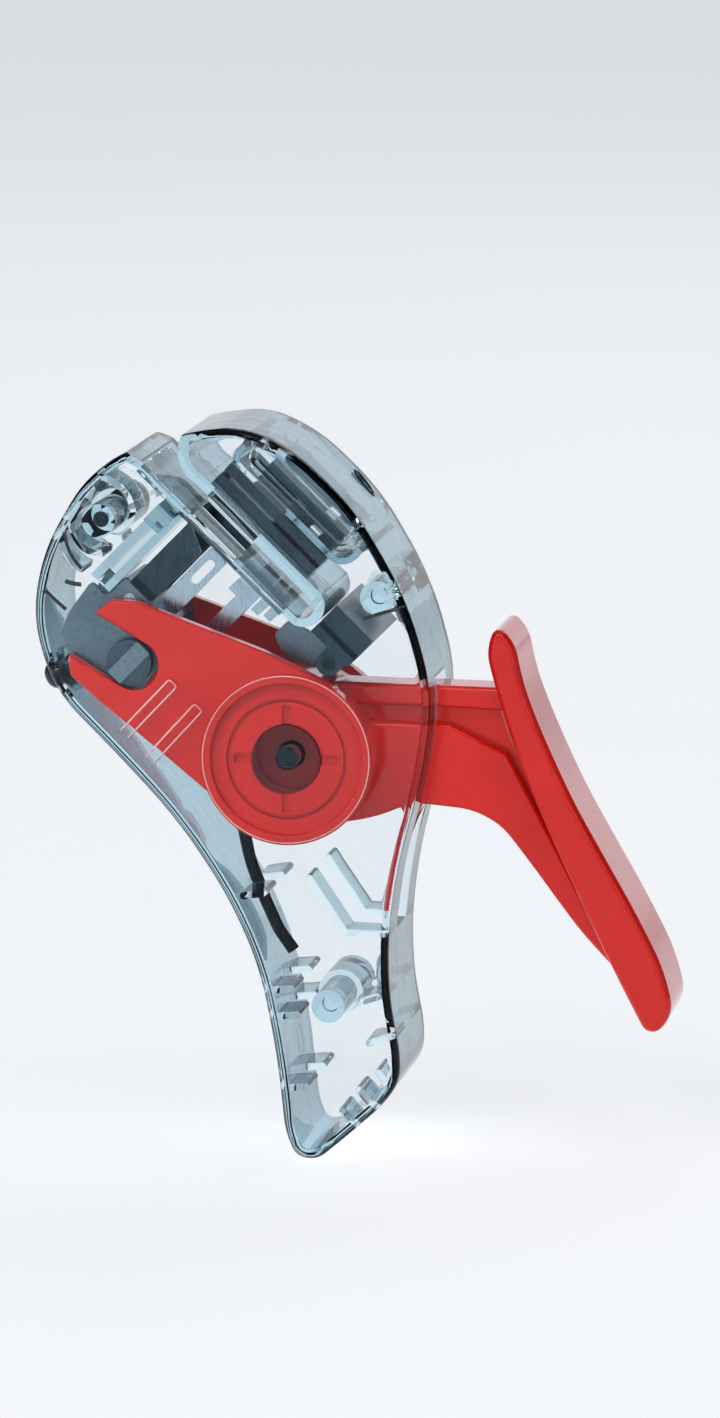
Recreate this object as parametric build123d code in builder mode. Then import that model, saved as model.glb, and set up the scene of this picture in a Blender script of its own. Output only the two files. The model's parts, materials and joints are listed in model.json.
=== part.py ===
from build123d import *
from math import atan2, cos, degrees, hypot, radians, sin, tan
import os

os.makedirs("parts", exist_ok=True)

# A hand-held staple-less stapler, in millimetres. +X runs from the handle towards the lever,
# +Z runs up, and the front of the stapler faces -Y. The origin is the middle of the handle.

# ---- places of the mechanism ----
PIVOT_X, PIVOT_Z = -7.5, 30.0      # lever pivot, from the origin
MOUTH_ANGLE = -44.5                # the paper slot runs down to the right at this angle
LEVER_TRAVEL = 26.0                # degrees from open to squeezed

# ---- layers, as distances from the middle plane to either side ----
HALF_DEPTH = 12.5
SHELL_WALL = 1.6
RIM_WALL = 1.3
EDGE_ROUND = 1.5
SHELL_IN = HALF_DEPTH - SHELL_WALL
ARM_IN, ARM_OUT, DISC_OUT = 8.2, 10.2, 10.6
DISC_FLOOR = 9.7                   # the disc is sunk to this layer inside its rim
PLATE_IN, PLATE_OUT = 6.5, 7.8
INNER_HALF = 6.4                   # pieces between the carriage plates

# ---- pivot ----
BOSS_R = 4.7
HUB_BORE_R = 4.78
HUB_WEB_HALF = 2.5                 # a web across the middle of the hub bore
HUB_WEB_HOLE_R = 1.9
DRUM_R = 11.3
DISC_R = 11.8

# ---- paper slot, in mouth coordinates: u along the slot, v across it ----
LOWER_FACE_V, UPPER_FACE_V = 15.4, 18.55
SLOT_END_U = -11.5
FACE_WALL = 1.2
ROOF_V = LOWER_FACE_V - FACE_WALL

# ---- drive ----
NOTCH_REACH = 24.5                 # pivot to the line that the drive pin slides along
NOTCH_ANGLE = 149.5                # direction of the fork notch with the lever open
ROLLER_R = 3.1
NOTCH_HALF = 3.4
PIN_R = 1.25
OPEN_PHASE = NOTCH_ANGLE - (MOUTH_ANGLE + 180.0)
PIN_U = -NOTCH_REACH
PIN_V = -NOTCH_REACH * tan(radians(OPEN_PHASE))
STROKE = NOTCH_REACH * (tan(radians(LEVER_TRAVEL - OPEN_PHASE)) + tan(radians(OPEN_PHASE)))
print("drive stroke", round(STROKE, 3), "mm, ratio", round(STROKE / radians(LEVER_TRAVEL), 4), "mm/rad")

# ---- screw and pegs that hold the halves together: middle of each post, from the pivot ----
SCREW_PLACES = [(-25.7, 32.3)]
PEG_PLACES = [(5.9, -33.9), (12.6, 22.6)]
SCREW_R, SCREW_HEAD_R = 1.1, 2.2
PEG_R, PEG_TIP = 1.1, 7.0
HEAD_FLOOR = 10.4                  # the screw heads sit on posts at this depth
POST_R = {1: 2.3, -1: 3.1}         # front and rear posts
PIVOT_SCREW_R, PIVOT_HEAD_R = 1.6, 3.2

# ---- openings ----
LEVER_WINDOW = [(11.0, 10.9), (24.0, 10.9), (24.0, -24.0), (10.5, -24.0)]
LEVER_WINDOW_HALF = 4.2
BLADE_U, BLADE_WINDOW_HALF = (-33.0, -24.2), 5.8

# ---- lock button ----
BUTTON_R = 2.0
BUTTON_PLACE = (-32.5, 9.9)        # where its axis crosses the back of the head
BUTTON_ANGLE = 205.0               # it points out of the head in this direction
BUTTON_REACH, BUTTON_ROUND = 3.0, 1.7

side = Plane(origin=(PIVOT_X, 0, PIVOT_Z), x_dir=(1, 0, 0), z_dir=(0, -1, 0))
mouth = Plane(
    origin=(PIVOT_X, 0, PIVOT_Z),
    x_dir=(cos(radians(MOUTH_ANGLE)), 0, sin(radians(MOUTH_ANGLE))),
    z_dir=(0, -1, 0),
)


button_plane = Plane(
    origin=(PIVOT_X + BUTTON_PLACE[0], 0, PIVOT_Z + BUTTON_PLACE[1]),
    x_dir=(0, 1, 0),
    z_dir=(cos(radians(BUTTON_ANGLE)), 0, sin(radians(BUTTON_ANGLE))),
)


def from_mouth(u, v):
    """Mouth coordinates as side coordinates, both measured from the pivot."""
    c, s = cos(radians(MOUTH_ANGLE)), sin(radians(MOUTH_ANGLE))
    return (u * c - v * s, u * s + v * c)


def save(piece, label):
    piece.part.label = label
    export_step(piece.part, f"parts/{label}.step")


def mouth_block(u_range, v_range, half, mode=Mode.ADD):
    """A block in mouth coordinates, the same distance to both sides of the middle plane."""
    with BuildSketch(mouth) as face:
        with Locations(((u_range[0] + u_range[1]) / 2, (v_range[0] + v_range[1]) / 2)):
            Rectangle(u_range[1] - u_range[0], v_range[1] - v_range[0])
    extrude(face.sketch, amount=half, both=True, mode=mode)


def outer_face(builder, facing):
    """The face furthest out on that side: facing is 1 for the front and -1 for the rear."""
    return builder.faces().sort_by(Axis.Y)[0 if facing > 0 else -1]


# ---- housing outline, from the pivot ----
# Down the back of the head and the grip, round the foot, then up the front and over the upper jaw.
HEAD_AND_BACK = [(-22.9, 41.6), (-28.0, 37.4), (-33.3, 28.3), (-35.0, 19.0), (-32.1, 9.0), (-24.2, 1.2),
                 (-14.9, -8.6), (-7.8, -19.3), (-3.6, -28.9), (-1.2, -41.0)]
FOOT = [(-0.1, -51.5), (1.4, -55.0), (4.4, -55.4), (9.0, -51.5), (13.6, -47.3), (15.8, -44.0)]
FRONT_AND_JAW = [(15.8, -40.0), (14.4, -33.0), (14.1, -25.0), (15.3, -15.0), (18.9, -1.5), (20.3, 9.5),
                 (16.8, 22.3), (9.6, 34.6), (1.4, 42.3), (-5.5, 45.6), (-12.6, 44.9)]


def smooth_radii(points, share=0.47):
    """For each corner of a closed outline, the largest round that leaves its two sides room for the next."""
    radii = []
    for i, corner in enumerate(points):
        before = Vector(*points[i - 1]) - Vector(*corner)
        after = Vector(*points[(i + 1) % len(points)]) - Vector(*corner)
        turn = radians(180.0 - before.get_angle(after))
        radii.append(share * min(before.length, after.length) / tan(turn / 2))
    return radii


def housing_outline():
    """The closed, smooth line round the whole housing, before the paper slot is cut in."""
    points = HEAD_AND_BACK + FOOT + FRONT_AND_JAW
    with BuildLine() as line:
        FilletPolyline(*points, radius=smooth_radii(points), close=True)
    return line.line


def slot_outline():
    """The paper slot, with a rounded inner end and a mouth that flares between the two lips."""
    end_low = from_mouth(SLOT_END_U - 1.2, LOWER_FACE_V)
    end_mid = from_mouth(SLOT_END_U, (LOWER_FACE_V + UPPER_FACE_V) / 2)
    end_high = from_mouth(SLOT_END_U - 1.2, UPPER_FACE_V)
    upper_lip = from_mouth(-35.0, UPPER_FACE_V)
    lower_lip = from_mouth(-42.6, LOWER_FACE_V)
    with BuildLine() as line:
        Line(end_low, lower_lip)
        ThreePointArc(lower_lip, (-22.3, 42.0), (-26.0, 42.8))
        Polyline((-26.0, 42.8), (-18.0, 52.0), (-11.4, 47.0))
        ThreePointArc((-11.4, 47.0), (-14.5, 41.6), upper_lip)
        Line(upper_lip, end_high)
        ThreePointArc(end_high, end_mid, end_low)
    return line.line


OUTLINE = housing_outline()
SLOT = slot_outline()
with BuildSketch() as slot_wall:
    add(SLOT)
    make_face()
    offset(amount=RIM_WALL)
SLOT_WALL = slot_wall.sketch


def post(places, radius, start, end, mode=Mode.ADD):
    """Round posts, or with Mode.SUBTRACT holes, between two layers measured from the middle plane."""
    with BuildSketch(side.offset(start)) as face:
        with Locations(*places):
            Circle(radius)
    extrude(face.sketch, amount=end - start, mode=mode)


def ribs(lines, width, low, high, mode=Mode.ADD):
    """Straight ribs with round ends, or with Mode.SUBTRACT grooves, from one layer to another."""
    with BuildSketch(side.offset(low)) as face:
        for start, end in lines:
            length = hypot(end[0] - start[0], end[1] - start[1])
            angle = degrees(atan2(end[1] - start[1], end[0] - start[0]))
            with Locations(Location(((start[0] + end[0]) / 2, (start[1] + end[1]) / 2), angle)):
                SlotOverall(length + width, width)
    extrude(face.sketch, amount=high - low, mode=mode)


BACK_WALL_GROOVES = [((-22.2, 3.1), (-15.9, 9.8)), ((-18.7, -0.4), (-12.4, 6.5))]
GRIP_RIBS = [((3.3, -16.2), (8.3, -23.6)), ((8.3, -23.6), (13.6, -23.7))]
# Curved ribs round the lower jaw's screw post: start, middle and end of each arc.
JAW_HOOKS = [((-28.2, 34.2), (-29.2, 30.4), (-25.2, 28.0)), ((-30.6, 31.0), (-30.4, 27.8), (-27.9, 25.6)),
             ((-25.6, 38.4), (-22.4, 36.8), (-20.9, 33.6))]
GRIP_CROSS_RIBS = [((-5.8, -18.9), (-3.0, -18.4)), ((-2.3, -31.9), (0.8, -31.6)),
                   ((-1.2, -35.5), (1.6, -35.2)), ((0.4, -45.4), (2.8, -45.2)),
                   ((12.6, -32.4), (10.2, -33.2)), ((14.0, -38.0), (11.6, -38.8)),
                   ((8.9, -49.6), (7.9, -48.4)), ((11.6, -47.1), (10.6, -45.9))]


# A raised oval on the inside of each wall, over the die chamber, in mouth coordinates.
CHAMBER_RING = (-23.5, 27.45)
CHAMBER_RING_SIZE = (19.0, 4.3)
CHAMBER_RING_WALL = 0.8
CHAMBER_RING_LOW = 8.5
BUTTON_BOSS = (8.6, 6.6)           # length and width of the raised oval round the button
BUTTON_BOSS_RISE = 0.5


def housing_half(facing):
    """One half of the housing: facing is 1 for the front half and -1 for the rear half."""
    inward = facing * SHELL_IN
    with BuildPart() as half:
        with BuildSketch(side):
            add(OUTLINE)
            make_face()
        extrude(amount=facing * HALF_DEPTH)
        fillet(outer_face(half, facing).edges(), EDGE_ROUND)
        with BuildSketch(side):
            add(OUTLINE)
            make_face()
            offset(amount=-RIM_WALL, mode=Mode.REPLACE)
            add(SLOT_WALL, mode=Mode.SUBTRACT)
        extrude(amount=inward, mode=Mode.SUBTRACT)
        with BuildSketch(side):
            add(SLOT)
            make_face()
        extrude(amount=facing * HALF_DEPTH, mode=Mode.SUBTRACT)
        # the lever's way out through the front of the grip, and the blades' way across the slot
        with BuildSketch(side):
            Polygon(*LEVER_WINDOW, align=None)
        extrude(amount=facing * LEVER_WINDOW_HALF, mode=Mode.SUBTRACT)
        with BuildSketch(mouth):
            with Locations(((BLADE_U[0] + BLADE_U[1]) / 2, LOWER_FACE_V)):
                Rectangle(BLADE_U[1] - BLADE_U[0], 12.0)
        extrude(amount=facing * BLADE_WINDOW_HALF, mode=Mode.SUBTRACT)
        # lock button hole through the back wall, in a raised oval
        with BuildSketch(button_plane.offset(-1.0)):
            SlotOverall(BUTTON_BOSS[0], BUTTON_BOSS[1])
        extrude(amount=1.0 + BUTTON_BOSS_RISE)
        with BuildSketch(side):
            with Locations(BUTTON_PLACE):
                Circle(12.0)
        extrude(amount=-facing * HALF_DEPTH, mode=Mode.SUBTRACT)
        with BuildSketch(button_plane):
            Circle(BUTTON_R + 0.2)
        extrude(amount=6.0, both=True, mode=Mode.SUBTRACT)
        # posts and ribs
        post([(0, 0)], BOSS_R, facing * (HUB_WEB_HALF + 0.3), inward)
        post(SCREW_PLACES + PEG_PLACES, POST_R[facing], 0, inward)
        ribs(BACK_WALL_GROOVES, 1.7, inward, facing * (SHELL_IN + 0.9), Mode.SUBTRACT)
        ribs(GRIP_RIBS, 1.0, facing * 5.2, inward)
        ribs(GRIP_CROSS_RIBS, 1.0, facing * 3.4, inward)
        with BuildSketch(side.offset(facing * 4.0)):
            for path in JAW_HOOKS:
                with BuildLine():
                    ThreePointArc(*path)
                trace(line_width=0.9)
        extrude(amount=inward - facing * 4.0)
        with BuildSketch(mouth.offset(facing * CHAMBER_RING_LOW)):
            with Locations(CHAMBER_RING):
                SlotOverall(*CHAMBER_RING_SIZE)
                inner = [size - 2 * CHAMBER_RING_WALL for size in CHAMBER_RING_SIZE]
                SlotOverall(*inner, mode=Mode.SUBTRACT)
        extrude(amount=inward - facing * CHAMBER_RING_LOW)
    return half


# ---- housing halves ----
front_half = housing_half(1)
rear_half = housing_half(-1)

with BuildPart() as front_shell:
    add(front_half.part)
    post([(0, 0)], PIVOT_SCREW_R, 0, 8.5, Mode.SUBTRACT)
    post(SCREW_PLACES, SCREW_R, 0, 8.0, Mode.SUBTRACT)
    post(PEG_PLACES, PEG_R + 0.06, 0, 8.0, Mode.SUBTRACT)
save(front_shell, "front_shell")

with BuildPart() as rear_shell:
    add(rear_half.part)
    post([(0, 0)], PIVOT_SCREW_R, 0, -HALF_DEPTH, Mode.SUBTRACT)
    post([(0, 0)], PIVOT_HEAD_R + 0.1, -HALF_DEPTH, -HEAD_FLOOR, Mode.SUBTRACT)
    post(SCREW_PLACES, SCREW_R, 0, -HALF_DEPTH, Mode.SUBTRACT)
    post(SCREW_PLACES, SCREW_HEAD_R + 0.1, -HALF_DEPTH, -HEAD_FLOOR, Mode.SUBTRACT)
    post(PEG_PLACES, PEG_R, 0, PEG_TIP)
save(rear_shell, "rear_shell")


def cross_recess(place, size, start, depth):
    """A cross-shaped recess for a driver in a screw head."""
    with BuildSketch(side.offset(start)) as face:
        with Locations(*place):
            Rectangle(size, size / 4)
            Rectangle(size / 4, size)
    extrude(face.sketch, amount=depth, mode=Mode.SUBTRACT)


def screw(places, shank_r, head_r, tip):
    """Screws put in from the rear, with their heads sunk in the rear half."""
    with BuildPart() as made:
        post(places, head_r, -HEAD_FLOOR - 1.7, -HEAD_FLOOR)
        chamfer(made.faces().filter_by(Axis.Y).sort_by(Axis.Y)[-len(places):].edges(), 0.4)
        post(places, shank_r, -HEAD_FLOOR, tip)
        cross_recess(places, head_r * 1.1, -HEAD_FLOOR - 1.7, 0.9)
    return made


shell_screw = screw(SCREW_PLACES, SCREW_R - 0.04, SCREW_HEAD_R, 7.5)
save(shell_screw, "shell_screw")

pivot_screw = screw([(0, 0)], PIVOT_SCREW_R - 0.04, PIVOT_HEAD_R, 8.0)
save(pivot_screw, "pivot_screw")

# ---- blade guides and paper path in the lower jaw ----
BLADE_OPENING = (-32.7, -24.3)
THROAT_V = (ROOF_V - 1.2, ROOF_V - 0.1)

with BuildPart() as blade_guide:
    mouth_block((-36.8, -33.3), (-2.0, 12.6), INNER_HALF - 0.2)
    mouth_block((-36.8, -34.0), (9.6, 12.6), SHELL_IN - 0.1)
    mouth_block((-35.6, -34.5), (-2.0, 8.6), 4.6, Mode.SUBTRACT)
save(blade_guide, "blade_guide")

with BuildPart() as throat_plate:
    mouth_block((-42.2, -14.6), THROAT_V, 7.9)
    mouth_block((-34.2, -22.9), THROAT_V, 7.3, Mode.SUBTRACT)
    for edge_u in (-41.5, -39.5, -37.5):
        mouth_block((edge_u, edge_u + 0.7), (THROAT_V[0], THROAT_V[0] + 0.5), 7.0, Mode.SUBTRACT)
save(throat_plate, "throat_plate")

with BuildPart() as cutter_bush:
    mouth_block((-34.1, -23.0), THROAT_V, 7.2)
    mouth_block(BLADE_OPENING, THROAT_V, 5.6, Mode.SUBTRACT)
save(cutter_bush, "cutter_bush")

with BuildPart() as guide_bar:
    mouth_block((-20.8, -18.4), (3.5, THROAT_V[0]), 2.5)
    mouth_block((-22.2, -20.8), (9.4, 10.8), 2.5)
    mouth_block((-20.1, -19.1), (4.4, 11.6), 1.6, Mode.SUBTRACT)
save(guide_bar, "guide_bar")

with BuildPart() as stripper_tabs:
    mouth_block((-18.0, -16.7), (9.7, THROAT_V[0]), 3.0)
    mouth_block((-16.2, -14.9), (10.3, THROAT_V[0]), 3.0)
save(stripper_tabs, "stripper_tabs")

# ---- paper stop at the inner end of the slot, which also carries the pusher's pin ----
PUSHER_PIN = (-5.2, 13.0)
PUSHER_PIN_R = 1.0

with BuildPart() as mouth_stop:
    mouth_block((-10.0, -3.0), (15.2, 20.3), SHELL_IN - 0.2)
    mouth_block((-10.0, -3.0), (16.6, 17.4), 20.0, Mode.SUBTRACT)
    mouth_block((-9.2, -3.8), (16.4, 19.2), 8.6)
    for facing in (1, -1):
        with BuildSketch(mouth.offset(facing * 5.7)):
            with Locations((PUSHER_PIN[0], (PUSHER_PIN[1] + 15.2) / 2)):
                Rectangle(3.4, 15.2 - PUSHER_PIN[1])
            with Locations(PUSHER_PIN):
                Circle(1.7)
                Circle(PUSHER_PIN_R + 0.02, mode=Mode.SUBTRACT)
        extrude(amount=facing * 1.7)
save(mouth_stop, "mouth_stop")

with BuildPart() as pusher_pin:
    with BuildSketch(mouth):
        with Locations(PUSHER_PIN):
            Circle(PUSHER_PIN_R)
    extrude(amount=7.4, both=True)
save(pusher_pin, "pusher_pin")

PUSHER_OUTLINE = [(-13.3, 12.4), (-13.3, 9.9), (-11.4, 9.0), (-8.8, 9.4), (-3.5, 12.0), (-3.5, 14.5), (-6.6, 14.6)]

with BuildPart() as flap_pusher:
    with BuildSketch(mouth.offset(2.6)) as face:
        Polygon(*PUSHER_OUTLINE, align=None)
        fillet(face.vertices(), 0.7)
        with Locations(PUSHER_PIN):
            Circle(PUSHER_PIN_R + 0.05, mode=Mode.SUBTRACT)
    extrude(amount=1.8)
save(flap_pusher, "flap_pusher")

# ---- dies and chamber in the upper jaw ----


def die_plate(v_range):
    """A steel plate with a window that the blades pass through."""
    with BuildPart() as made:
        mouth_block((-33.8, -15.5), v_range, 9.0)
        mouth_block((-32.6, -24.3), v_range, 5.5, Mode.SUBTRACT)
    return made


die_plate_lower = die_plate((20.0, 21.5))
save(die_plate_lower, "die_plate_lower")
die_plate_upper = die_plate((22.1, 23.5))
save(die_plate_upper, "die_plate_upper")

LINER_LINE = [(-34.1, 26.8), (-34.1, 24.5), (-13.0, 24.5), (-13.0, 28.0)]

with BuildPart() as die_liner:
    with BuildSketch(mouth):
        with BuildLine():
            FilletPolyline(*LINER_LINE, radius=[1.0, 2.2])
        trace(line_width=0.9)
    extrude(amount=SHELL_IN - 0.2, both=True)
    mouth_block((-33.2, -24.0), (23.9, 25.2), 6.0, Mode.SUBTRACT)
save(die_liner, "die_liner")

with BuildPart() as die_clamp:
    mouth_block((-30.0, -15.8), (26.4, 27.4), 8.0)
    mouth_block((-22.4, -21.4), (24.95, 26.4), 8.0)
    mouth_block((-17.0, -16.0), (24.95, 26.4), 8.0)
    mouth_block((-21.0, -17.6), (26.0, 27.0), 8.0)
    mouth_block((-20.2, -18.4), (25.5, 28.0), 6.4, Mode.SUBTRACT)
save(die_clamp, "die_clamp")

# ---- lever: hub drum, neck, web, paddle and stop tongue, moulded in one ----
SPRING_CAVITY = (6.4, 9.6, 3.3)     # inner radius, outer radius, half width
SPRING_WINDOW = (198.0, 230.0, 262.0)   # the long spring leg comes out of the drum in this sector
KEY_PLACES = [(7.9 * cos(radians(a)), 7.9 * sin(radians(a))) for a in (45, 225)]
KEY_R, KEY_TIP = 0.9, 8.7
WEB_HALF, RIB_HALF, PADDLE_HALF = 1.5, 3.4, 8.0
PADDLE_ROUND, NECK_ROUND = 1.2, 0.7
WEB_FOOT = [(46.0, -31.0), (39.6, -24.2), (36.2, -19.7), (32.8, -15.1), (28.6, -9.7), (24.6, -7.6),
            (16.2, -6.8), (11.0, -9.0), (5.0, -10.0)]
PADDLE_OUTER = [(30.9, 16.2), (32.0, 10.9), (33.8, 6.0), (36.3, 0.3), (39.2, -5.8), (43.0, -12.5),
                (47.6, -20.5), (51.4, -28.0), (53.0, -34.4)]
PADDLE_INNER = [(49.6, -38.2), (45.8, -31.0), (41.6, -22.5), (37.6, -14.0), (33.8, -5.8), (30.7, 2.2),
                (28.6, 8.6), (26.9, 15.0), (28.3, 18.9)]


def ray(angle, radius):
    return (radius * cos(radians(angle)), radius * sin(radians(angle)))


with BuildPart() as paddle:
    with BuildSketch(side):
        with BuildLine():
            corners = PADDLE_OUTER + PADDLE_INNER
            FilletPolyline(*corners, radius=smooth_radii(corners), close=True)
        make_face()
    extrude(amount=PADDLE_HALF, both=True)
    fillet(paddle.faces().filter_by(Axis.Y).edges(), PADDLE_ROUND)



def web(top, half):
    """A wall of the lever, with the given straight edges above and the rounded foot line below."""
    with BuildSketch(side) as face:
        with BuildLine():
            FilletPolyline(*WEB_FOOT, radius=smooth_radii(WEB_FOOT)[1:-1])
            Polyline(WEB_FOOT[-1], *top, WEB_FOOT[0])
        make_face()
    extrude(face.sketch, amount=half, both=True)


with BuildPart() as neck:
    web([(0, -5.0), (7.0, 4.6), (21.4, 4.2), (29.4, 0.4), (36.0, -12.0)], RIB_HALF)
    fillet(neck.faces().filter_by(Axis.Y).edges(), NECK_ROUND)

with BuildPart() as top_rib:
    with BuildSketch(side):
        Polygon((3.0, 7.0), (3.0, 9.9), (28.6, 9.4), (29.2, 6.2), (20.0, 6.6), align=None)
    extrude(amount=RIB_HALF, both=True)
    fillet(top_rib.faces().filter_by(Axis.Y).edges(), NECK_ROUND)

with BuildPart() as lever:
    with BuildSketch(side):
        Circle(DRUM_R)
    extrude(amount=ARM_IN, both=True)
    web([(0, 0), (3.0, 9.9), (27.0, 9.3), (30.0, 1.0), (38.0, -16.0)], WEB_HALF)
    add(neck.part)
    add(top_rib.part)
    add(paddle.part)
    with BuildSketch(side):
        with BuildLine():
            FilletPolyline((17.6, -5.6), (15.6, -9.6), (14.0, -14.0), (13.1, -18.0), (12.8, -21.6), radius=9.0)
        trace(line_width=1.3)
    extrude(amount=2.6, both=True)
    with BuildSketch(side):
        Circle(SPRING_CAVITY[1])
        Circle(SPRING_CAVITY[0], mode=Mode.SUBTRACT)
    extrude(amount=SPRING_CAVITY[2], both=True, mode=Mode.SUBTRACT)
    with BuildSketch(side.offset(0.6)):
        Polygon(*[ray(a, 8.0) for a in SPRING_WINDOW], *[ray(a, 15.0) for a in reversed(SPRING_WINDOW)], align=None)
    extrude(amount=2.7, mode=Mode.SUBTRACT)
    post([(0, 0)], HUB_WEB_HOLE_R, -HUB_WEB_HALF, HUB_WEB_HALF, Mode.SUBTRACT)
    for facing in (1, -1):
        post([(0, 0)], HUB_BORE_R, facing * HUB_WEB_HALF, facing * ARM_IN, Mode.SUBTRACT)
        post(KEY_PLACES, KEY_R + 0.02, facing * 5.0, facing * ARM_IN, Mode.SUBTRACT)
save(lever, "lever")

with BuildPart() as arm_pins:
    for facing in (1, -1):
        post(KEY_PLACES, KEY_R, facing * 5.0, facing * KEY_TIP)
save(arm_pins, "arm_pins")

# ---- fork arms with their pivot discs ----
ARM_OUTLINE = [(8.0, 4.0), (6.5, 10.0), (2.0, 12.4), (-3.2, 14.8), (-13.6, 18.6), (-20.6, 21.2), (-24.2, 21.4),
               (-27.0, 19.0), (-28.0, 16.0), (-30.2, 13.4), (-29.8, 10.8), (-26.1, 7.6), (-17.8, 0.9),
               (-11.0, -4.7), (0.0, -8.0)]
RIM_IN, GROOVE_R, GROOVE_DEPTH = 10.4, 8.1, 0.6
ARM_ROUND, RIM_ROUND = 0.4, 0.25


def fork_arm(facing):
    """A flat arm with a radial notch for the drive roller, and the ringed disc round the pivot."""
    with BuildPart() as arm:
        with BuildSketch(side.offset(facing * ARM_IN)) as face:
            Polygon(*ARM_OUTLINE, align=None)
            fillet(face.vertices(), 0.8)
            with Locations(Location(ray(NOTCH_ANGLE, NOTCH_REACH + 6.0), NOTCH_ANGLE)):
                Rectangle(12.0, 2 * NOTCH_HALF, mode=Mode.SUBTRACT)
            with Locations(ray(NOTCH_ANGLE, NOTCH_REACH)):
                Circle(NOTCH_HALF, mode=Mode.SUBTRACT)
        extrude(amount=facing * (ARM_OUT - ARM_IN))
        fillet(outer_face(arm, facing).edges(), ARM_ROUND)
        post([(0, 0)], DISC_R, facing * ARM_IN, facing * DISC_OUT)
        post([(0, 0)], RIM_IN, facing * DISC_FLOOR, facing * DISC_OUT, Mode.SUBTRACT)
        fillet(outer_face(arm, facing).edges(), RIM_ROUND)
        with BuildSketch(side.offset(facing * (DISC_FLOOR - GROOVE_DEPTH))):
            Circle(GROOVE_R + 0.25)
            Circle(GROOVE_R - 0.25, mode=Mode.SUBTRACT)
            for angle in (0, 90):
                with Locations(Location((0, 0), angle)):
                    Rectangle(14.6, 1.3)
        extrude(amount=facing * GROOVE_DEPTH, mode=Mode.SUBTRACT)
        post([(0, 0)], HUB_BORE_R, facing * ARM_IN, facing * DISC_OUT, Mode.SUBTRACT)
        post(KEY_PLACES, KEY_R + 0.02, facing * ARM_IN, facing * KEY_TIP, Mode.SUBTRACT)
    return arm


front_arm = fork_arm(1)
save(front_arm, "front_arm")
rear_arm = fork_arm(-1)
save(rear_arm, "rear_arm")

# ---- blade carriage ----
BLOCK_TOP = 1.4
PLATE_OUTLINE = [(-36.0, -2.4), (-35.2, -7.7), (-34.0, -10.4), (-31.5, -11.6), (-27.3, -11.8), (-22.9, -10.8),
                 (-20.8, -7.5), (-21.6, -1.0), (-23.6, BLOCK_TOP), (-33.0, BLOCK_TOP), (-33.0, -2.4)]
RIVET_PLACES = [(-30.6, -0.3), (-26.4, -0.3)]
RIVET_R = 0.8
BLADE_TIP = 12.7


def carriage_plate(facing):
    with BuildPart() as plate:
        with BuildSketch(mouth.offset(facing * PLATE_IN)) as face:
            Polygon(*PLATE_OUTLINE, align=None)
            fillet(face.vertices(), 0.5)
            with Locations((PIN_U, PIN_V)):
                Circle(PIN_R + 0.02, mode=Mode.SUBTRACT)
            with Locations(*RIVET_PLACES):
                Circle(RIVET_R + 0.02, mode=Mode.SUBTRACT)
        extrude(amount=facing * (PLATE_OUT - PLATE_IN))
    return plate


front_carriage_plate = carriage_plate(1)
save(front_carriage_plate, "front_carriage_plate")
rear_carriage_plate = carriage_plate(-1)
save(rear_carriage_plate, "rear_carriage_plate")

with BuildPart() as carriage_block:
    mouth_block((-33.0, -24.0), (-2.0, BLOCK_TOP), PLATE_IN)
    with BuildSketch(mouth):
        with Locations(*RIVET_PLACES):
            Circle(RIVET_R + 0.02)
    extrude(amount=PLATE_IN, both=True, mode=Mode.SUBTRACT)
save(carriage_block, "carriage_block")

with BuildPart() as carriage_rivets:
    with BuildSketch(mouth):
        with Locations(*RIVET_PLACES):
            Circle(RIVET_R)
    extrude(amount=PLATE_OUT, both=True)
save(carriage_rivets, "carriage_rivets")

with BuildPart() as cutter_blade:
    mouth_block((-32.3, -28.2), (BLOCK_TOP, BLADE_TIP), 5.2)
    mouth_block((-31.4, -28.0), (BLOCK_TOP + 1.0, BLADE_TIP + 1.0), 4.3, Mode.SUBTRACT)
    with BuildSketch(mouth):
        Polygon((-32.4, BLADE_TIP + 0.1), (-28.1, BLADE_TIP - 2.0), (-28.1, BLADE_TIP + 1.0), align=None)
    extrude(amount=6.0, both=True, mode=Mode.SUBTRACT)
save(cutter_blade, "cutter_blade")

with BuildPart() as slit_blade:
    with BuildSketch(mouth.offset(3.2)) as face:
        Polygon((-27.8, BLOCK_TOP), (-24.7, BLOCK_TOP), (-24.7, BLADE_TIP - 0.9), (-26.2, BLADE_TIP),
                (-27.8, BLADE_TIP - 0.9), align=None)
        with Locations(Location((-26.2, 8.8), 90)):
            SlotOverall(4.4, 1.3, mode=Mode.SUBTRACT)
    extrude(amount=1.2)
save(slit_blade, "slit_blade")

PIN_HEAD = (2.4, 5.9)              # each end of the pin has a flat bar, let into the roller's face
PIN_HEAD_DEPTH = 0.5

with BuildPart() as drive_pin:
    with BuildSketch(mouth):
        with Locations((PIN_U, PIN_V)):
            Circle(PIN_R)
    extrude(amount=ARM_OUT, both=True)
    for facing in (1, -1):
        with BuildSketch(mouth.offset(facing * (ARM_OUT - PIN_HEAD_DEPTH))):
            with Locations((PIN_U, PIN_V)):
                Rectangle(*PIN_HEAD)
        extrude(amount=facing * PIN_HEAD_DEPTH)
save(drive_pin, "drive_pin")

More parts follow.
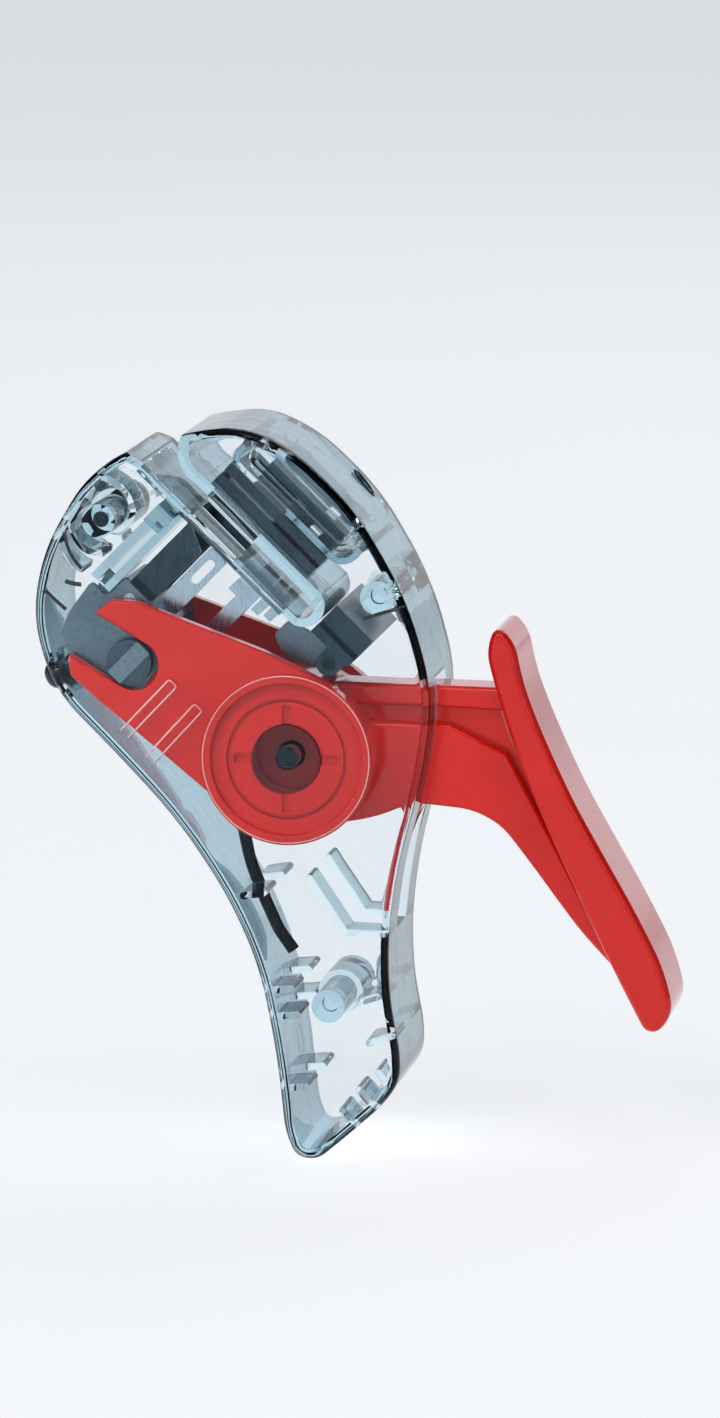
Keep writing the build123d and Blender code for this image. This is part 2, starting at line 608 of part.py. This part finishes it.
with BuildPart() as drive_rollers:
    for facing in (1, -1):
        with BuildSketch(mouth.offset(facing * (PLATE_OUT + 0.1))):
            with Locations((PIN_U, PIN_V)):
                Circle(ROLLER_R)
                Circle(PIN_R + 0.02, mode=Mode.SUBTRACT)
        extrude(amount=facing * (ARM_OUT - PLATE_OUT - 0.1))
        with BuildSketch(mouth.offset(facing * (ARM_OUT - PIN_HEAD_DEPTH - 0.03))):
            with Locations((PIN_U, PIN_V)):
                Rectangle(PIN_HEAD[0] + 0.06, 4 * ROLLER_R)
        extrude(amount=facing * (PIN_HEAD_DEPTH + 0.1), mode=Mode.SUBTRACT)
save(drive_rollers, "drive_rollers")

# ---- return spring: two turns in the drum, and a long leg down the grip ----
COIL_R, WIRE_R, COIL_HALF = 8.0, 0.85, 2.0
LEG_PATH = [(-COIL_R, 0.0), (-7.9, -8.0), (-6.4, -15.4), (-4.2, -21.0), (-2.4, -25.0), (-0.3, -27.9)]
coil_plane = Plane(origin=(PIVOT_X, COIL_HALF, PIVOT_Z), x_dir=(-1, 0, 0), z_dir=(0, -1, 0))

coil = coil_plane * Helix(pitch=COIL_HALF, height=2 * COIL_HALF, radius=COIL_R)

with BuildPart() as return_spring:
    with BuildSketch(Plane(coil @ 0, z_dir=coil % 0)):
        Circle(WIRE_R)
    sweep(path=coil)
    with BuildLine(side.offset(COIL_HALF)) as leg:
        FilletPolyline(*LEG_PATH, radius=[24.0, 16.0, 12.0, 8.0])
    with BuildSketch(Plane(leg.line @ 0, z_dir=leg.line % 0)):
        Circle(WIRE_R)
    sweep(path=leg.line)
save(return_spring, "return_spring")

# ---- lock button ----
with BuildPart() as lock_button:
    with BuildSketch(button_plane.offset(-5.6)):
        Circle(1.2)
    extrude(amount=2.6)
    with BuildSketch(button_plane.offset(-3.0)):
        Circle(2.7)
    extrude(amount=0.8)
    with BuildSketch(button_plane.offset(-2.2)):
        Circle(BUTTON_R)
    extrude(amount=BUTTON_REACH + 2.2)
    fillet(lock_button.faces().sort_by(Axis.X)[0].edges(), BUTTON_ROUND)
save(lock_button, "lock_button")
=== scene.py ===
"""Looks for a hand-held staple-less stapler: clear housing, red lever, steel blade carriage.

Everything is in metres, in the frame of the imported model: +X from the grip to the lever,
+Z up, and the front faces -Y.
"""
import json
import math

import bpy
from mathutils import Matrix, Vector


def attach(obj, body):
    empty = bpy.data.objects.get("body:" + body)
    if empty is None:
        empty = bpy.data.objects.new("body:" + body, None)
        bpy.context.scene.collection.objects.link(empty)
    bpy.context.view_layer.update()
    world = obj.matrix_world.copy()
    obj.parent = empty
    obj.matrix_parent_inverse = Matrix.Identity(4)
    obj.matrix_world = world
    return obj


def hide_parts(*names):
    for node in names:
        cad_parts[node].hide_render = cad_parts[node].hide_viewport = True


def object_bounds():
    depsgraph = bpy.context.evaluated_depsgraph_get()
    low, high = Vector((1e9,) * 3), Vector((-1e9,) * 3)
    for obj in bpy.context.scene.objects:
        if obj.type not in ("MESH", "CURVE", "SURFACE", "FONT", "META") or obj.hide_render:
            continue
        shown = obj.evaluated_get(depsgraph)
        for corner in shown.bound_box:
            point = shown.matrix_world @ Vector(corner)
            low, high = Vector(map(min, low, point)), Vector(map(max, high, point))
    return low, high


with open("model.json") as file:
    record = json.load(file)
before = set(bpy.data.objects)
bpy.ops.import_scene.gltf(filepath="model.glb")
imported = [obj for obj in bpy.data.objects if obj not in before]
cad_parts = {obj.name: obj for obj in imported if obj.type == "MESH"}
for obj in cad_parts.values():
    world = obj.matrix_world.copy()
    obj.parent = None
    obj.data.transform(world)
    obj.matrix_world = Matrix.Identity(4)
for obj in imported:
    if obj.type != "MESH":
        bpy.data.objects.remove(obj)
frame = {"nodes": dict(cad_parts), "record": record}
CAD_LOW, CAD_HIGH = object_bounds()
NODES = frame["nodes"]
SCENE = bpy.context.scene
MM = 0.001
MOUTH_ANGLE = math.radians(-44.5)     # the paper slot runs down to the right at this angle


# ---------------------------------------------------------------- node helpers
def new_material(name):
    """A material with only its output node."""
    mat = bpy.data.materials.new(name)
    mat.use_nodes = True
    mat.node_tree.nodes.clear()
    out = mat.node_tree.nodes.new("ShaderNodeOutputMaterial")
    return mat, mat.node_tree, out


def socket_values(made, values):
    """Fill in a node's inputs by name."""
    for key, value in values.items():
        made.inputs[key].default_value = value


def place(tree, scale=(1, 1, 1), turn=0.0):
    """Object coordinates, turned about Y and stretched."""
    coordinates = tree.nodes.new("ShaderNodeTexCoord")
    mapping = tree.nodes.new("ShaderNodeMapping")
    socket_values(mapping, {"Rotation": (0, turn, 0), "Scale": scale})
    tree.links.new(coordinates.outputs["Object"], mapping.inputs["Vector"])
    return mapping.outputs["Vector"]


def noise(tree, vector, scale, detail=3.0, roughness=0.55):
    """Soft random clouds, as a number."""
    made = tree.nodes.new("ShaderNodeTexNoise")
    socket_values(made, {"Scale": scale, "Detail": detail, "Roughness": roughness})
    tree.links.new(vector, made.inputs["Vector"])
    return made.outputs["Fac"]


def ramp(tree, source, stops):
    """A colour ramp. Stops are (place, colour)."""
    made = tree.nodes.new("ShaderNodeValToRGB")
    elements = made.color_ramp.elements
    while len(elements) < len(stops):
        elements.new(0.5)
    for element, (where, colour) in zip(elements, stops):
        element.position = where
        element.color = (*colour, 1.0)
    tree.links.new(source, made.inputs["Fac"])
    return made.outputs["Color"]


def spread(tree, source, low, high, start=0.3, end=0.7):
    """The source, from start to end, as a number from low to high."""
    made = tree.nodes.new("ShaderNodeMapRange")
    socket_values(made, {"From Min": start, "From Max": end, "To Min": low, "To Max": high})
    tree.links.new(source, made.inputs["Value"])
    return made.outputs["Result"]


def bump(tree, height, strength, distance):
    """Surface relief from a height."""
    made = tree.nodes.new("ShaderNodeBump")
    socket_values(made, {"Strength": strength, "Distance": distance})
    tree.links.new(height, made.inputs["Height"])
    return made.outputs["Normal"]


# ---------------------------------------------------------------- materials
# Noise scales are in cells per metre, and relief depths in metres.
PLASTIC_IOR = 1.5
CLEAR_GLINT = (0.3, 0.34, 0.38, 1.0)  # keeps the reflections of clear plastic dim and cool
FACE_END, SIDE_AT, EDGE_AT = 0.45, 0.68, 0.88     # how far the face tint, the side tint with painted shade and the painted edge shade reach
WAVE_SCALE, WAVE_DEPTH = 90.0, 0.0006             # long waves from moulding
SMEAR_SCALE = 700.0                               # gloss changes on clear plastic
CLOUD_SCALE, DUST_SCALE = 60.0, 900.0             # colour clouds and gloss changes on opaque plastic
PEEL_SCALE, PEEL_DEPTH = 2200.0, 0.00005          # orange peel
STAIN_SCALE, STAIN_SHARE = 140.0, 0.3             # stains between the ground lines of steel
GRIND_DEPTH = 0.00004


def clear_plastic(name, face, side, edge, absorb, density, waviness=0.12, rough=0.008):
    """Polished clear plastic, tinted by its depth, with painted shade: its colour darkens to near black
    where the line of sight skims it.
    """
    mat, tree, out = new_material(name)
    shader = tree.nodes.new("ShaderNodeBsdfPrincipled")
    socket_values(shader, {"Transmission Weight": 1.0, "IOR": PLASTIC_IOR, "Specular Tint": CLEAR_GLINT})
    weight = tree.nodes.new("ShaderNodeLayerWeight")
    weight.inputs["Blend"].default_value = 0.5
    # Painted shade: the colour runs from the face tint to near black as the surface turns edge-on.
    stops = [(0.0, face), (FACE_END, face), (SIDE_AT, side), (EDGE_AT, edge), (1.0, edge)]
    tree.links.new(ramp(tree, weight.outputs["Facing"], stops), shader.inputs["Base Color"])
    where = place(tree)
    waves = noise(tree, where, WAVE_SCALE, 2.0)
    smears = noise(tree, where, SMEAR_SCALE)
    tree.links.new(spread(tree, smears, rough * 0.5, rough * 2.0), shader.inputs["Roughness"])
    tree.links.new(bump(tree, waves, waviness, WAVE_DEPTH), shader.inputs["Normal"])
    # Lamps shine through: for shadow rays, the plastic is a plain tinted pane.
    see_through = tree.nodes.new("ShaderNodeBsdfTransparent")
    see_through.inputs["Color"].default_value = (*face, 1.0)
    path = tree.nodes.new("ShaderNodeLightPath")
    mix = tree.nodes.new("ShaderNodeMixShader")
    tree.links.new(path.outputs["Is Shadow Ray"], mix.inputs["Fac"])
    tree.links.new(shader.outputs["BSDF"], mix.inputs[1])
    tree.links.new(see_through.outputs["BSDF"], mix.inputs[2])
    tree.links.new(mix.outputs["Shader"], out.inputs["Surface"])
    volume = tree.nodes.new("ShaderNodeVolumeAbsorption")
    socket_values(volume, {"Color": (*absorb, 1.0), "Density": density})
    tree.links.new(volume.outputs["Volume"], out.inputs["Volume"])
    return mat


def gloss_plastic(name, low, high, rough, coat, peel=0.05, gloss=0.5):
    """Glossy moulded plastic with faint flow clouds, fine dust-like gloss changes and orange peel."""
    mat, tree, out = new_material(name)
    shader = tree.nodes.new("ShaderNodeBsdfPrincipled")
    socket_values(shader, {"IOR": PLASTIC_IOR, "Coat Weight": coat, "Coat Roughness": 0.06,
                           "Specular IOR Level": gloss})
    where = place(tree)
    clouds = noise(tree, where, CLOUD_SCALE, 4.0)
    dust = noise(tree, where, DUST_SCALE)
    skin = noise(tree, where, PEEL_SCALE, 2.0)
    tree.links.new(ramp(tree, clouds, [(0.3, low), (0.7, high)]), shader.inputs["Base Color"])
    tree.links.new(spread(tree, dust, rough * 0.7, rough * 1.4), shader.inputs["Roughness"])
    tree.links.new(bump(tree, skin, peel, PEEL_DEPTH), shader.inputs["Normal"])
    tree.links.new(shader.outputs["BSDF"], out.inputs["Surface"])
    return mat


def steel(name, low, high, rough, grain, relief=0.05):
    """Ground steel with lines along the mouth. Grain is the noise's scale along X, Y and Z."""
    mat, tree, out = new_material(name)
    shader = tree.nodes.new("ShaderNodeBsdfPrincipled")
    socket_values(shader, {"Metallic": 1.0, "Anisotropic": 0.4})
    lines = noise(tree, place(tree, grain, MOUTH_ANGLE), 1.0, 4.0, 0.7)
    stains = noise(tree, place(tree), STAIN_SCALE)
    blend = tree.nodes.new("ShaderNodeMix")
    blend.data_type = "FLOAT"
    blend.inputs["Factor"].default_value = STAIN_SHARE
    tree.links.new(lines, blend.inputs["A"])
    tree.links.new(stains, blend.inputs["B"])
    tone = ramp(tree, blend.outputs["Result"], [(0.32, low), (0.66, high)])
    tree.links.new(tone, shader.inputs["Base Color"])
    tree.links.new(spread(tree, lines, rough * 0.7, rough * 1.5), shader.inputs["Roughness"])
    tree.links.new(bump(tree, lines, relief, GRIND_DEPTH), shader.inputs["Normal"])
    tree.links.new(shader.outputs["BSDF"], out.inputs["Surface"])
    return mat


MATERIALS = {
    # Of the colours of each clear plastic, the first is its tint, the second a tint with painted shade,
    # the third the near-black painted edge shade and the fourth its colour in depth.
    "clear_housing": clear_plastic("clear_housing", (0.985, 0.99, 0.995), (0.30, 0.55, 0.68),
                                   (0.002, 0.008, 0.014), (0.30, 0.62, 0.72), 36.0),
    "clear_insert": clear_plastic("clear_insert", (0.93, 0.97, 0.98), (0.30, 0.46, 0.54),
                                  (0.001, 0.005, 0.008), (0.25, 0.52, 0.62), 70.0, waviness=0.3),
    "red_plastic": gloss_plastic("red_plastic", (0.66, 0.014, 0.009), (0.76, 0.024, 0.015),
                                 0.11, 0.4, 0.02, gloss=0.4),
    "dark_steel": steel("dark_steel", (0.012, 0.018, 0.022), (0.06, 0.085, 0.10),
                        0.26, (900, 100, 9000)),
    "blackened_steel": steel("blackened_steel", (0.014, 0.024, 0.032), (0.09, 0.15, 0.19),
                             0.18, (9000, 100, 500)),
    "bright_steel": steel("bright_steel", (0.34, 0.44, 0.52), (0.58, 0.70, 0.78),
                          0.22, (9000, 100, 500), relief=0.04),
    "blue_grey_steel": steel("blue_grey_steel", (0.13, 0.19, 0.23), (0.23, 0.31, 0.36),
                             0.36, (1500, 400, 1500)),
    "dark_plastic": gloss_plastic("dark_plastic", (0.008, 0.011, 0.014), (0.03, 0.035, 0.04),
                                  0.3, 0.3, 0.2),
}
SLOT_OF = {part["node"]: part["material_slot"] for part in frame["record"]["subparts"]}
# Steel parts whose tone differs from the rest of their slot.
OWN_MATERIAL = {
    "return_spring": steel("spring_steel", (0.003, 0.005, 0.007), (0.02, 0.03, 0.035),
                           0.3, (1500, 1500, 400), relief=0.04),
    "drive_rollers": steel("roller_steel", (0.05, 0.085, 0.105), (0.13, 0.19, 0.23),
                           0.38, (2500, 400, 2500)),
    "drive_pin": steel("pin_steel", (0.17, 0.23, 0.27), (0.28, 0.36, 0.41),
                       0.34, (2500, 400, 2500)),
}
for name, obj in NODES.items():
    obj.data.materials.clear()
    obj.data.materials.append(OWN_MATERIAL.get(name) or MATERIALS[SLOT_OF[name]])

# ---------------------------------------------------------------- housing halves
SEAM_GAP = 0.015 * MM                 # each half stands this far back from the middle plane


def parted_half(node_name, facing):
    """A copy of a housing half whose mating face stands clear of the other half's."""
    mesh = NODES[node_name].data.copy()
    for vertex in mesh.vertices:
        if abs(vertex.co.y) < SEAM_GAP:
            vertex.co.y = facing * SEAM_GAP
    half = bpy.data.objects.new(node_name + "_moulding", mesh)
    SCENE.collection.objects.link(half)
    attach(half, "housing")
    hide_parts(node_name)


parted_half("front_shell", -1)
parted_half("rear_shell", 1)

# ---------------------------------------------------------------- painted highlight and painted shade lines
# Places here are in millimetres: X from the pivot, distance in front of the middle, Z from the pivot.
PIVOT_X, PIVOT_Z = -7.5, 30.0
# Painted highlight: pale pink beads that stand in for the bright highlights on the edges of red parts.
painted_highlight_bead = gloss_plastic("painted_highlight_bead", (0.80, 0.40, 0.38), (0.95, 0.66, 0.64), 0.15, 0.5)
# Painted shade: near-black beads that stand in for the dark lines seen in the clear housing.
painted_shade_bead = gloss_plastic("painted_shade_bead", (0.006, 0.012, 0.016), (0.02, 0.035, 0.045), 0.1, 0.5)


def bead(name, route, radius, material, closed=False, body="housing"):
    """A fine round line along places."""
    curve = bpy.data.curves.new(name, "CURVE")
    curve.dimensions = "3D"
    curve.bevel_depth = radius * MM
    curve.bevel_resolution = 3
    curve.use_fill_caps = True
    spline = curve.splines.new("NURBS")
    spline.points.add(len(route) - 1)
    for point, (x, front, z) in zip(spline.points, route):
        point.co = ((PIVOT_X + x) * MM, -front * MM, (PIVOT_Z + z) * MM, 1.0)
    spline.order_u = 3
    spline.use_endpoint_u = not closed
    spline.use_cyclic_u = closed
    spline.resolution_u = 8
    curve.materials.append(material)
    line = bpy.data.objects.new(name, curve)
    SCENE.collection.objects.link(line)
    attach(line, body)


# Painted highlights: pale pink beads outline the two rails in the front wall over the arm, each an open
# U with its round end uppermost.
RAIL_HALF, RAIL_DEPTH, RAIL_LINE = 0.72, 11.3, 0.13
RAILS = (((-22.2, 3.1), (-15.9, 9.8)), ((-18.7, -0.4), (-12.4, 6.5)))     # foot and head of each
for index, (foot, head) in enumerate(RAILS):
    low, high = Vector(foot), Vector(head)
    along = (high - low).normalized() * RAIL_HALF
    across = Vector((-along.y, along.x))
    corners = (low + across, high + across, high + across + along,
               high - across + along, high - across, low - across)
    bead(f"rail_painted_highlight_{index + 1}", [(c.x, RAIL_DEPTH, c.y) for c in corners], RAIL_LINE,
         painted_highlight_bead)

# A painted highlight: a pale pink bead round the rim of the pivot disc, which turns with the lever.
RIM_RADIUS, RIM_DEPTH, RIM_LINE, RIM_POINTS = 11.55, 10.55, 0.10, 32
rim = []
for step in range(RIM_POINTS):
    turn = math.tau * step / RIM_POINTS
    rim.append((RIM_RADIUS * math.cos(turn), RIM_DEPTH, RIM_RADIUS * math.sin(turn)))
bead("disc_rim_highlight", rim, RIM_LINE, painted_highlight_bead, closed=True, body="lever")

# Painted shade: dark lines where the housing's catches and ribs meet its rim: (X and Z of each place,
# radius).
LINE_DEPTH = 10.5
DARK_LINES = {
    "catch_upper": (((-30.4, 30.6), (-30.3, 27.9), (-28.1, 25.7)), 0.22),
    "catch_middle": (((-30.4, 23.9), (-29.2, 23.5), (-28.2, 23.5)), 0.30),
    "catch_lower": (((-33.2, 22.6), (-31.8, 21.2), (-30.3, 20.0)), 0.26),
    "jaw_joint": (((10.8, 19.7), (13.6, 20.6), (16.2, 21.4)), 0.26),
}
for name, (places, radius) in DARK_LINES.items():
    bead(name, [(x, LINE_DEPTH, z) for x, z in places], radius, painted_shade_bead)

# A small oval set on the outside of the rim, towards the rear, drawn in painted shade as a dark bead.
OVAL_MIDDLE, OVAL_LONG, OVAL_SHORT = (8.1, -6.5, 35.9), 2.2, 1.1
OVAL_ALONG = (0.6, -0.8)              # the rim's run there, as X and Z
OVAL_LINE, OVAL_POINTS = 0.22, 12
oval = []
for step in range(OVAL_POINTS):
    turn = math.tau * step / OVAL_POINTS
    slide = OVAL_LONG * math.cos(turn)
    oval.append((OVAL_MIDDLE[0] + OVAL_ALONG[0] * slide, OVAL_MIDDLE[1] + OVAL_SHORT * math.sin(turn),
                 OVAL_MIDDLE[2] + OVAL_ALONG[1] * slide))
bead("rim_oval", oval, OVAL_LINE, painted_shade_bead, closed=True)

# ---------------------------------------------------------------- floor
FLOOR_SIZE, FLOOR_DROP = 14.0, 0.4 * MM
FLOOR_TONES = [(0.3, (0.44, 0.44, 0.445)), (0.7, (0.46, 0.46, 0.465))]
floor_mat, floor_tree, floor_out = new_material("pale_floor")
floor_shader = floor_tree.nodes.new("ShaderNodeBsdfPrincipled")
socket_values(floor_shader, {"Roughness": 0.8, "Specular IOR Level": 0.1,
                             "Emission Color": (0.97, 0.98, 1.0, 1.0), "Emission Strength": 0.60})
floor_tone = ramp(floor_tree, noise(floor_tree, place(floor_tree), 3.0), FLOOR_TONES)
floor_tree.links.new(floor_tone, floor_shader.inputs["Base Color"])
floor_tree.links.new(floor_shader.outputs["BSDF"], floor_out.inputs["Surface"])
bpy.ops.mesh.primitive_plane_add(size=FLOOR_SIZE, location=(0, 0, CAD_LOW.z - FLOOR_DROP))
floor = bpy.context.object
floor.name = "floor"
floor.data.materials.append(floor_mat)

# ---------------------------------------------------------------- light
# The studio is bright ahead, behind and low down, and dark to the sides and above, which gives the clear
# plastic its dark edges, together with the painted edge shade in its colour. The camera itself sees a
# plain pale backdrop.
SIDEWAYS = [(0.0, (1.0, 1.0, 1.0)), (0.45, (0.86, 0.9, 0.94)), (0.62, (0.04, 0.06, 0.07)),
            (0.90, (0.02, 0.03, 0.04)), (1.0, (0.35, 0.45, 0.5))]
UPWARD = [(0.0, (1.0, 1.0, 1.0)), (0.30, (0.9, 0.95, 1.0)), (0.50, (0.10, 0.14, 0.16)),
          (0.80, (0.06, 0.08, 0.1)), (1.0, (0.5, 0.55, 0.6))]
BACKDROP = (0.80, 0.82, 0.85, 1.0)
world = bpy.data.worlds.new("studio")
SCENE.world = world
world.use_nodes = True
sky = world.node_tree
sky.nodes.clear()
sky_out = sky.nodes.new("ShaderNodeOutputWorld")
direction = sky.nodes.new("ShaderNodeTexCoord")
parts = sky.nodes.new("ShaderNodeSeparateXYZ")
sky.links.new(direction.outputs["Generated"], parts.inputs["Vector"])
sideways = sky.nodes.new("ShaderNodeMath")
sideways.operation = "ABSOLUTE"
sky.links.new(parts.outputs["X"], sideways.inputs[0])
tone = sky.nodes.new("ShaderNodeMix")
tone.data_type = "RGBA"
tone.blend_type = "MULTIPLY"
tone.inputs["Factor"].default_value = 1.0
FIRST_COLOUR, SECOND_COLOUR, COLOUR_OUT = 6, 7, 2     # the Mix node's colour sockets
sky.links.new(ramp(sky, sideways.outputs["Value"], SIDEWAYS), tone.inputs[FIRST_COLOUR])
sky.links.new(ramp(sky, parts.outputs["Z"], UPWARD), tone.inputs[SECOND_COLOUR])
studio = sky.nodes.new("ShaderNodeBackground")
sky.links.new(tone.outputs[COLOUR_OUT], studio.inputs["Color"])
plain = sky.nodes.new("ShaderNodeBackground")
plain.inputs["Color"].default_value = BACKDROP
seen = sky.nodes.new("ShaderNodeLightPath")
choose = sky.nodes.new("ShaderNodeMixShader")
sky.links.new(seen.outputs["Is Camera Ray"], choose.inputs["Fac"])
sky.links.new(studio.outputs["Background"], choose.inputs[1])
sky.links.new(plain.outputs["Background"], choose.inputs[2])
sky.links.new(choose.outputs["Shader"], sky_out.inputs["Surface"])

LAMP_AIM = Vector((0, 0, 0.02))


def soft_light(name, place_at, size, power):
    """A rectangular soft box turned towards the stapler."""
    data = bpy.data.lights.new(name, "AREA")
    data.shape = "RECTANGLE"
    data.size, data.size_y = size
    data.energy = power
    lamp = bpy.data.objects.new(name, data)
    SCENE.collection.objects.link(lamp)
    lamp.location = place_at
    lamp.rotation_mode = "QUATERNION"
    lamp.rotation_quaternion = (LAMP_AIM - Vector(place_at)).to_track_quat("-Z", "Y")


soft_light("key", (-0.55, -0.75, 0.95), (1.1, 0.07), 3.6)
soft_light("strip", (0.15, -0.65, 1.15), (1.1, 0.06), 2.2)
soft_light("fill", (0.95, -0.75, 0.45), (0.06, 0.9), 1.3)
soft_light("left_strip", (-0.95, -0.80, 0.25), (0.06, 0.9), 2.2)
soft_light("back", (0.3, 1.0, 1.0), (1.2, 0.5), 4.0)

# ---------------------------------------------------------------- camera
AZIMUTH, ELEVATION = math.radians(9.0), math.radians(9.0)
DISTANCE = 1.1
FRAME_HEIGHT = 0.1945                 # height of the picture at the stapler
AIM = Vector((0.001, 0.0, 0.0355))
camera_data = bpy.data.cameras.new("camera")
camera = bpy.data.objects.new("camera", camera_data)
SCENE.collection.objects.link(camera)
SCENE.camera = camera
camera_data.sensor_width = 36.0
camera_data.lens = camera_data.sensor_width * DISTANCE / FRAME_HEIGHT
camera_data.clip_start, camera_data.clip_end = 0.01, 30.0
away = Vector((math.sin(AZIMUTH) * math.cos(ELEVATION),
               -math.cos(AZIMUTH) * math.cos(ELEVATION),
               math.sin(ELEVATION)))
camera.location = AIM + away * DISTANCE
camera.rotation_mode = "QUATERNION"
camera.rotation_quaternion = (-away).to_track_quat("-Z", "Y")
SCENE.view_settings.view_transform = "Standard"
SCENE.view_settings.exposure = 0.10
SCENE.view_settings.gamma = 0.84
